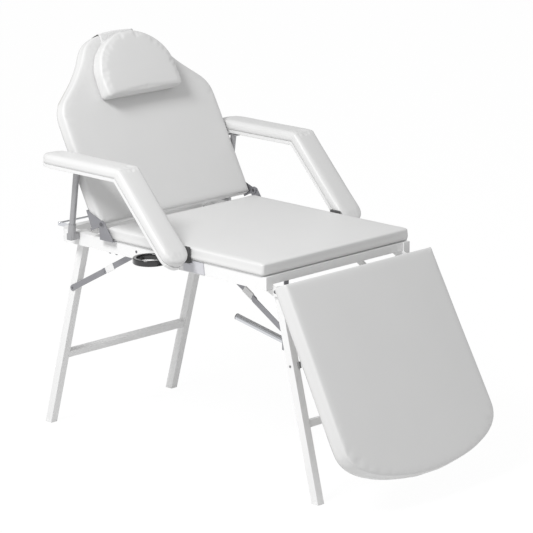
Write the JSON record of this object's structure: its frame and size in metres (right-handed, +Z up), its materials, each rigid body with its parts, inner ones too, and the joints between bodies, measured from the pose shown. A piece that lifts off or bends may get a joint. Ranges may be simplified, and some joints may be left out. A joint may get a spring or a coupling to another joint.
{
  "type": "folding massage table",
  "caption": "Three-section cushioned treatment chair and table: level seat, tilting back with pillow, swinging leg rest, lift-off arms, folding steel legs.",
  "frame": {"origin": "on the floor under the middle of the overall box", "axes": "+X to the right seen from the foot end, +Y from the foot end towards the back, +Z up"},
  "size_m": [0.7996, 1.3118, 1.1614],
  "materials": {
    "white_paint": "gloss",
    "grey_paint": "satin",
    "vinyl": "satin",
    "plywood": "satin",
    "elastic": "matte",
    "steel": "satin",
    "chrome": "polished",
    "dark_plastic": "matte",
    "gloss_black": "gloss",
    "white_plastic": "satin",
    "rubber": "matte"
  },
  "bodies": {
    "frame": {"frame_tube": "white_paint", "rail_plugs": "white_plastic", "front_bar": "white_paint", "front_brackets": "white_paint", "frame_bolts": "steel", "frame_spacers": "white_plastic", "seat_spacers": "dark_plastic", "seat_board": "plywood", "seat_pad": "vinyl", "back_hinge_feet": "steel", "back_hinge_bolts": "steel", "back_catches": "steel", "prop_guide": "white_paint", "post_sockets": "white_paint", "arm_brackets": "grey_paint", "ring_holder": "gloss_black", "ring_bracket": "gloss_black", "roll_rod": "chrome"},
    "back": {"back_hinge_arms": "steel", "back_board": "plywood", "back_pad": "vinyl"},
    "pillow": {"pillow": "vinyl", "pillow_strap": "elastic"},
    "leg_rest": {"rest_board": "plywood", "rest_pad": "vinyl", "rest_arms": "white_paint", "prop_bracket": "steel"},
    "prop": {"prop_tube": "chrome", "prop_plug": "dark_plastic"},
    "front_legs": {"front_leg_left": "white_paint", "front_leg_right": "white_paint", "front_feet": "white_plastic", "front_cross_bar": "white_paint", "front_leg_bolts": "steel", "leg_buffers": "rubber"},
    "rear_legs": {"rear_leg_left": "white_paint", "rear_leg_right": "white_paint", "rear_feet": "white_plastic", "rear_cross_bar": "white_paint", "rear_leg_bolts": "steel"},
    "front_upper_left": {"front_upper_left": "steel"},
    "front_lower_left": {"front_lower_left": "steel"},
    "front_sleeve_left": {"front_sleeve_left": "white_plastic"},
    "rear_upper_left": {"rear_upper_left": "steel"},
    "rear_lower_left": {"rear_lower_left": "steel"},
    "rear_sleeve_left": {"rear_sleeve_left": "white_plastic"},
    "arm_left": {"arm_pad_left": "vinyl", "arm_base_left": "white_plastic", "arm_post_left": "chrome", "arm_tab_left": "dark_plastic"},
    "front_upper_right": {"front_upper_right": "steel"},
    "front_lower_right": {"front_lower_right": "steel"},
    "front_sleeve_right": {"front_sleeve_right": "white_plastic"},
    "rear_upper_right": {"rear_upper_right": "steel"},
    "rear_lower_right": {"rear_lower_right": "steel"},
    "rear_sleeve_right": {"rear_sleeve_right": "white_plastic"},
    "arm_right": {"arm_pad_right": "vinyl", "arm_base_right": "white_plastic", "arm_post_right": "chrome", "arm_tab_right": "dark_plastic"}
  },
  "joints": [
    {"name": "back_tilt", "type": "hinge", "parent": "frame", "child": "back", "pos_m": [0, 0.34273, 0.664], "axis": [-1, 0, 0], "range_deg": [-13, 62]},
    {"name": "pillow_slide", "type": "slide", "parent": "back", "child": "pillow", "axis": [0, 0.4695, 0.8829], "range_m": [0, 0.12]},
    {"name": "leg_rest_tilt", "type": "hinge", "parent": "frame", "child": "leg_rest", "pos_m": [0, -0.30377, 0.575], "axis": [-1, 0, 0], "range_deg": [0, 61.2]},
    {"name": "prop_pivot", "type": "hinge", "parent": "leg_rest", "child": "prop", "pos_m": [-0.15, -0.43762, 0.35987], "axis": [1, 0, 0], "range_deg": [0, 19.43]},
    {"name": "front_legs_fold", "type": "hinge", "parent": "frame", "child": "front_legs", "pos_m": [0, -0.30377, 0.575], "axis": [1, 0, 0], "range_deg": [0, 104]},
    {"name": "rear_legs_fold", "type": "hinge", "parent": "frame", "child": "rear_legs", "pos_m": [0, 0.47873, 0.6], "axis": [-1, 0, 0], "range_deg": [0, 88]},
    {"name": "front_upper_left_turn", "type": "hinge", "parent": "frame", "child": "front_upper_left", "pos_m": [-0.233, -0.07027, 0.59794], "axis": [1, 0, 0], "range_deg": [0, 71.37]},
    {"name": "front_lower_left_turn", "type": "hinge", "parent": "front_legs", "child": "front_lower_left", "pos_m": [-0.233, -0.33762, 0.44122], "axis": [-1, 0, 0], "range_deg": [0, 177.47]},
    {"name": "front_sleeve_left_slide", "type": "slide", "parent": "front_upper_left", "child": "front_sleeve_left", "axis": [0, 0.8645, 0.5027], "range_m": [0, 0.03]},
    {"name": "rear_upper_left_turn", "type": "hinge", "parent": "frame", "child": "rear_upper_left", "pos_m": [-0.233, 0.21774, 0.60199], "axis": [-1, 0, 0], "range_deg": [0, 56.74]},
    {"name": "rear_lower_left_turn", "type": "hinge", "parent": "rear_legs", "child": "rear_lower_left", "pos_m": [-0.233, 0.52389, 0.43549], "axis": [1, 0, 0], "range_deg": [0, 174.92]},
    {"name": "rear_sleeve_left_slide", "type": "slide", "parent": "rear_upper_left", "child": "rear_sleeve_left", "axis": [0, -0.8769, 0.4807], "range_m": [0, 0.03]},
    {"name": "arm_left_lift", "type": "slide", "parent": "frame", "child": "arm_left", "axis": [0, -0.1327, 0.9912], "range_m": [0, 0.12]},
    {"name": "front_upper_right_turn", "type": "hinge", "parent": "frame", "child": "front_upper_right", "pos_m": [0.233, -0.07027, 0.59794], "axis": [1, 0, 0], "range_deg": [0, 71.37]},
    {"name": "front_lower_right_turn", "type": "hinge", "parent": "front_legs", "child": "front_lower_right", "pos_m": [0.233, -0.33762, 0.44122], "axis": [-1, 0, 0], "range_deg": [0, 177.47]},
    {"name": "front_sleeve_right_slide", "type": "slide", "parent": "front_upper_right", "child": "front_sleeve_right", "axis": [0, 0.8645, 0.5027], "range_m": [0, 0.03]},
    {"name": "rear_upper_right_turn", "type": "hinge", "parent": "frame", "child": "rear_upper_right", "pos_m": [0.233, 0.21774, 0.60199], "axis": [-1, 0, 0], "range_deg": [0, 56.74]},
    {"name": "rear_lower_right_turn", "type": "hinge", "parent": "rear_legs", "child": "rear_lower_right", "pos_m": [0.233, 0.52389, 0.43549], "axis": [1, 0, 0], "range_deg": [0, 174.92]},
    {"name": "rear_sleeve_right_slide", "type": "slide", "parent": "rear_upper_right", "child": "rear_sleeve_right", "axis": [0, -0.8769, 0.4807], "range_m": [0, 0.03]},
    {"name": "arm_right_lift", "type": "slide", "parent": "frame", "child": "arm_right", "axis": [0, -0.1327, 0.9912], "range_m": [0, 0.12]}
  ],
  "couplings": [
    {"joint": "prop_pivot", "follows": "leg_rest_tilt", "ratio": 0.3166},
    {"joint": "front_upper_left_turn", "follows": "front_legs_fold", "ratio": 0.6858},
    {"joint": "front_lower_left_turn", "follows": "front_legs_fold", "ratio": 1.706},
    {"joint": "rear_upper_left_turn", "follows": "rear_legs_fold", "ratio": 0.64422},
    {"joint": "rear_lower_left_turn", "follows": "rear_legs_fold", "ratio": 1.9872},
    {"joint": "front_upper_right_turn", "follows": "front_legs_fold", "ratio": 0.6858},
    {"joint": "front_lower_right_turn", "follows": "front_legs_fold", "ratio": 1.706},
    {"joint": "rear_upper_right_turn", "follows": "rear_legs_fold", "ratio": 0.64422},
    {"joint": "rear_lower_right_turn", "follows": "rear_legs_fold", "ratio": 1.9872}
  ]
}
